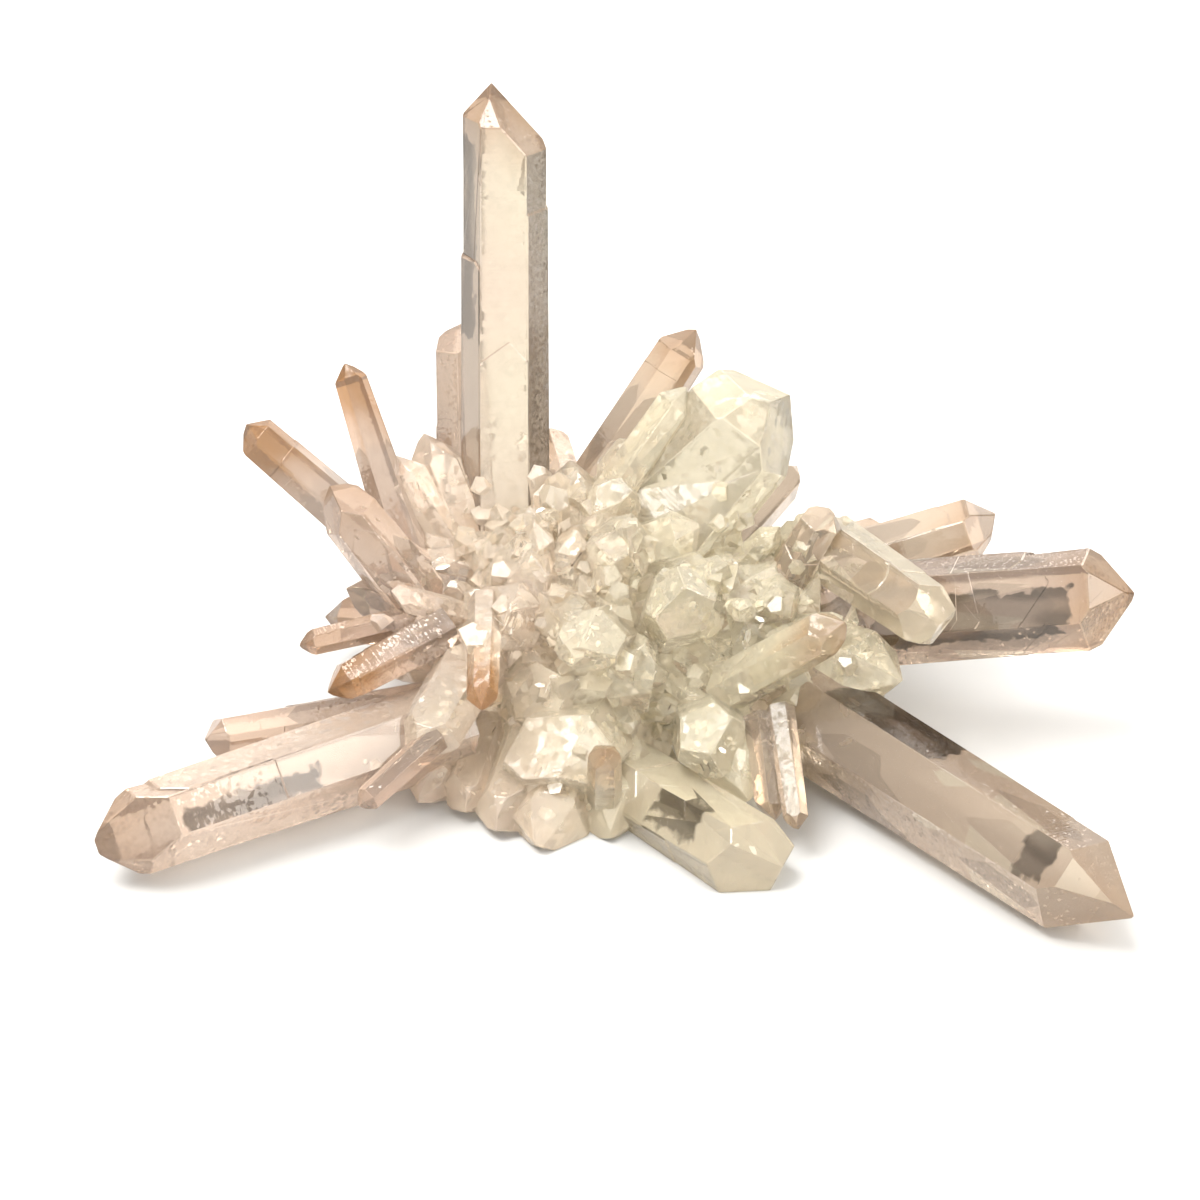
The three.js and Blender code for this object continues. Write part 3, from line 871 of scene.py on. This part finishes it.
def speck_material(name, first, second, scale, edge, roughness):
    """Two colours in a fine grain: the white of veils and healed fractures, or the dark iron ore of needles."""
    material = bpy.data.materials.new(name)
    tree = nodes_of(material)
    place = node(tree, "ShaderNodeTexCoord").outputs["Object"]
    grain = node(tree, "ShaderNodeTexNoise", {"Vector": place, "Scale": scale, "Detail": 2.0}).outputs["Fac"]
    colour = blend_colours(tree, ramp(tree, grain, *edge), first, second)
    rough = ramp(tree, grain, *GRAIN_MIDDLE, *roughness)
    shader = node(tree, "ShaderNodeBsdfPrincipled", {"Base Color": colour, "Roughness": rough})
    node(tree, "ShaderNodeOutputMaterial", {"Surface": shader.outputs[0]})
    return material


class QUARTZ_OT_veils(bpy.types.Operator):
    """Set the white veils and healed fractures inside the crystals"""

    bl_idname = "quartz.veils"
    bl_label = "Veils"

    def execute(self, context):
        settings = context.scene.quartz_cluster
        chance = seeded(77)
        crystals = grow_main()
        longer, shorter = crystals[1:len(POINTS)], crystals[len(POINTS):]
        bm = bmesh.new()
        while len(bm.verts) < settings.veils * VEILS["points each"]:
            long = chance() < VEILS["long"]
            crowd = longer if long else shorter
            crystal = crowd[int(chance() * len(crowd))]
            share = between(chance, *VEILS["long place" if long else "place"])
            reach = crystal.inner * VEILS["spread"] * math.sqrt(chance()) * min(1, (1 - share) * 2.5)
            turn = between(chance, 0, 2 * math.pi)
            local = Vector((reach * math.cos(turn), reach * math.sin(turn), crystal.length * share))
            radius = min(crystal.inner * between(chance, *VEILS["radius"]), VEILS["largest"] * MM)
            place = crystal.matrix @ local
            if place.z < radius:
                continue
            flake = bmesh.ops.create_cone(
                bm, cap_ends=True, segments=5, radius1=radius, radius2=radius * 0.9, depth=VEILS["thick"] * MM,
            )
            turned = Matrix.Diagonal((1, between(chance, *VEILS["narrow"]), 1, 1))
            for most, axis in ((6.3, "Z"), (3.1, "X"), (6.3, "Z")):
                turned = Matrix.Rotation(between(chance, 0, most), 4, axis) @ turned
            bmesh.ops.transform(bm, matrix=Matrix.Translation(place) @ turned, verts=flake["verts"])
        bmesh.ops.recalc_face_normals(bm, faces=bm.faces)
        piece = link("white_veils", bm)
        piece.data.materials.append(speck_material("white veil", *VEIL))
        return {"FINISHED"}


class QUARTZ_OT_cluster(bpy.types.Operator):
    """Grow the cluster: its points, blocks, crowds and small crystals, joined and cut off flat"""

    bl_idname = "quartz.cluster"
    bl_label = "Cluster"

    def execute(self, context):
        settings = context.scene.quartz_cluster
        chance = seeded(5)
        crystals = grow_main()
        crystals += [crowd_crystal(FILLERS, i, chance) for i in range(FILLERS["count"])]
        stepped = [crystal for crystal in crystals[:len(POINTS)] if crystal.width > STEPS["least width"]]
        for crystal in stepped:
            crystals += terraces(crystal, chance)
        shapes = [crystal.mesh(settings.edge_wear * min(1, crystal.width / WORN_WIDTH)) for crystal in crystals]
        bm = join("mass", shapes, range(len(crystals)))
        small = [
            stud(root, tip, width, chance)
            for root, tip, width in small_rows(bm, settings.small_crystals, chance)
        ]
        marks = range(len(crystals), len(crystals) + len(small))
        crystals += small
        bm = join("studded", [crystal.mesh(0) for crystal in small], marks, bm)
        cut_base(bm)
        keep_largest(bm)
        lay_growth(bm, crystals)
        piece = link("quartz_crystals", bm)
        piece.data.materials.append(quartz_material(settings))
        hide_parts(NODE)
        return {"FINISHED"}


# Dark needle inclusions: each end across and up the best side as it's seen, and thickness, in millimetres.
NEEDLES = [
    ((-3.3, 3.9), (-2.1, 5.5), 0.22),
    ((11.6, -18.9), (12.0, -19.7), 0.13),
    ((12.4, -18.8), (12.7, -19.6), 0.12),
    ((7.9, -12.6), (8.2, -12.0), 0.14),
    ((-12.4, -15.2), (-12.0, -14.6), 0.12),
]
NEEDLE_RISE = 0.00004


class QUARTZ_OT_needles(bpy.types.Operator):
    """Set the few dark needles that lie just under the mass's surface"""

    bl_idname = "quartz.needles"
    bl_label = "Needles"

    def execute(self, context):
        body = bpy.data.objects.get("quartz_crystals")
        if body is None:
            raise RuntimeError("The cluster has to be grown before its needles are set")
        shape = bmesh.new()
        shape.from_mesh(body.data)
        tree = BVHTree.FromBMesh(shape)
        eye = standing((0, 0, EYE_DISTANCE))
        bm = bmesh.new()
        for start, end, thick in NEEDLES:
            ends = []
            for across, up in (start, end):
                way = (standing((across, up, 0)) - eye).normalized()
                hit = tree.ray_cast(eye, way)[0]
                if hit is None:
                    raise RuntimeError("A needle misses the cluster")
                ends.append(hit - way * NEEDLE_RISE)
            middle = (ends[0] + ends[1]) / 2
            axis = ends[1] - ends[0]
            rod = bmesh.ops.create_cone(
                bm, cap_ends=True, segments=6, radius1=thick * MM / 2, radius2=thick * MM / 4, depth=axis.length,
            )
            turn = axis.to_track_quat("Z", "Y").to_matrix().to_4x4()
            bmesh.ops.transform(bm, matrix=Matrix.Translation(middle) @ turn, verts=rod["verts"])
        shape.free()
        bmesh.ops.recalc_face_normals(bm, faces=bm.faces)
        piece = link("dark_needles", bm)
        piece.data.materials.append(speck_material("dark needle", *NEEDLE))
        return {"FINISHED"}


# Studio lights: place, aim, size, power and colour.
LIGHTS = {
    "key": ((-0.35, -0.12, 0.95), (0, 0, 0.02), (0.6, 0.6), 15.0, (1.0, 0.98, 0.95)),
    "fill": ((0.7, -0.3, 0.4), (0, 0, 0.02), (0.4, 0.5), 4.0, (1.0, 0.96, 0.9)),
    "back": ((0.2, 0.8, 0.5), (0, 0, 0.03), (0.8, 0.4), 3.0, (1.0, 0.99, 0.97)),
}
# The studio's own glow, from and to along each way, with the glow at both ends.
GLOW_SIDEWAYS = (0.4, 0.9, 1.0, 0.45)
GLOW_FRONT = (-0.3, -0.9, 1.0, 1.5)
GLOW_UP = (-0.1, 0.9, 0.8, 1.75)
GLOW_COLOUR = (1.0, 0.985, 0.96, 1)
FLOOR = {"Base Color": (0.52, 0.52, 0.515, 1), "Roughness": 0.8}
FLOOR_SIZE = 3.0
FLOOR_DROP = 0.0001
SENSOR = 36
NEAREST = 0.01


def area_light(name, place, aim, size, power, colour):
    """A soft rectangle of light."""
    data = bpy.data.lights.new(name, "AREA")
    data.shape = "RECTANGLE"
    data.size, data.size_y = size
    data.energy = power
    data.color = colour
    lamp = bpy.data.objects.new(name, data)
    lamp.location = place
    lamp.rotation_euler = (Vector(aim) - Vector(place)).to_track_quat("-Z", "Y").to_euler()
    bpy.context.scene.collection.objects.link(lamp)


class QUARTZ_OT_stage(bpy.types.Operator):
    """Set the plain pale floor, the soft studio light and the camera"""

    bl_idname = "quartz.stage"
    bl_label = "Stage"

    def execute(self, context):
        scene = context.scene
        bm = bmesh.new()
        bmesh.ops.create_grid(bm, x_segments=1, y_segments=1, size=FLOOR_SIZE)
        mesh = bpy.data.meshes.new("floor")
        bm.to_mesh(mesh)
        bm.free()
        floor = bpy.data.objects.new("floor", mesh)
        floor.location.z = -FLOOR_DROP
        scene.collection.objects.link(floor)
        pale = bpy.data.materials.new("pale floor")
        tree = nodes_of(pale)
        shader = node(tree, "ShaderNodeBsdfPrincipled", FLOOR)
        node(tree, "ShaderNodeOutputMaterial", {"Surface": shader.outputs[0]})
        floor.data.materials.append(pale)

        world = bpy.data.worlds.new("studio")
        world.use_nodes = True
        tree = world.node_tree
        tree.nodes.clear()
        way = node(tree, "ShaderNodeTexCoord").outputs["Generated"]
        aim = node(tree, "ShaderNodeSeparateXYZ", {0: way}).outputs
        sideways = ramp(tree, maths(tree, "ABSOLUTE", aim["X"]), *GLOW_SIDEWAYS)
        front = ramp(tree, aim["Y"], *GLOW_FRONT)
        glow = maths(tree, "MULTIPLY", ramp(tree, aim["Z"], *GLOW_UP), sideways)
        glow = maths(tree, "MULTIPLY", glow, front)
        sky = node(tree, "ShaderNodeBackground", {"Color": GLOW_COLOUR, "Strength": glow})
        node(tree, "ShaderNodeOutputWorld", {"Surface": sky.outputs[0]})
        world.cycles.sampling_method = "NONE"
        scene.world = world
        for name, light in LIGHTS.items():
            area_light(name, *light)

        data = bpy.data.cameras.new("camera")
        data.sensor_width = SENSOR
        data.lens = SENSOR * EYE_DISTANCE / PICTURE_WIDTH
        data.clip_start = NEAREST
        camera = bpy.data.objects.new("camera", data)
        camera.location = standing((0, 0, EYE_DISTANCE))
        camera.rotation_euler = (-OUTWARD).to_track_quat("-Z", "Y").to_euler()
        scene.collection.objects.link(camera)
        scene.camera = camera
        scene.view_settings.view_transform = "Standard"
        scene.cycles.max_bounces = 8
        scene.cycles.diffuse_bounces = 2
        scene.cycles.use_light_tree = False
        return {"FINISHED"}


class QUARTZ_PT_panel(bpy.types.Panel):
    """Buttons for each piece of the cluster"""

    bl_label = "Quartz Cluster"
    bl_idname = "QUARTZ_PT_panel"
    bl_space_type = "VIEW_3D"
    bl_region_type = "UI"
    bl_category = "Quartz"

    def draw(self, context):
        settings = context.scene.quartz_cluster
        for name in ("edge_wear", "small_crystals", "veils", "cream", "blush", "champagne", "iron", "painted_shade"):
            self.layout.prop(settings, name)
        for operator in OPERATORS:
            self.layout.operator(operator.bl_idname)


OPERATORS = (QUARTZ_OT_stage, QUARTZ_OT_cluster, QUARTZ_OT_veils, QUARTZ_OT_needles)
CLASSES = (ClusterSettings, *OPERATORS, QUARTZ_PT_panel)


def register():
    for cls in CLASSES:
        bpy.utils.register_class(cls)
    bpy.types.Scene.quartz_cluster = PointerProperty(type=ClusterSettings)


def unregister():
    del bpy.types.Scene.quartz_cluster
    for cls in reversed(CLASSES):
        bpy.utils.unregister_class(cls)


def main():
    register()
    bpy.ops.quartz.stage()
    bpy.ops.quartz.cluster()
    bpy.ops.quartz.veils()
    bpy.ops.quartz.needles()


if __name__ == "__main__":
    main()
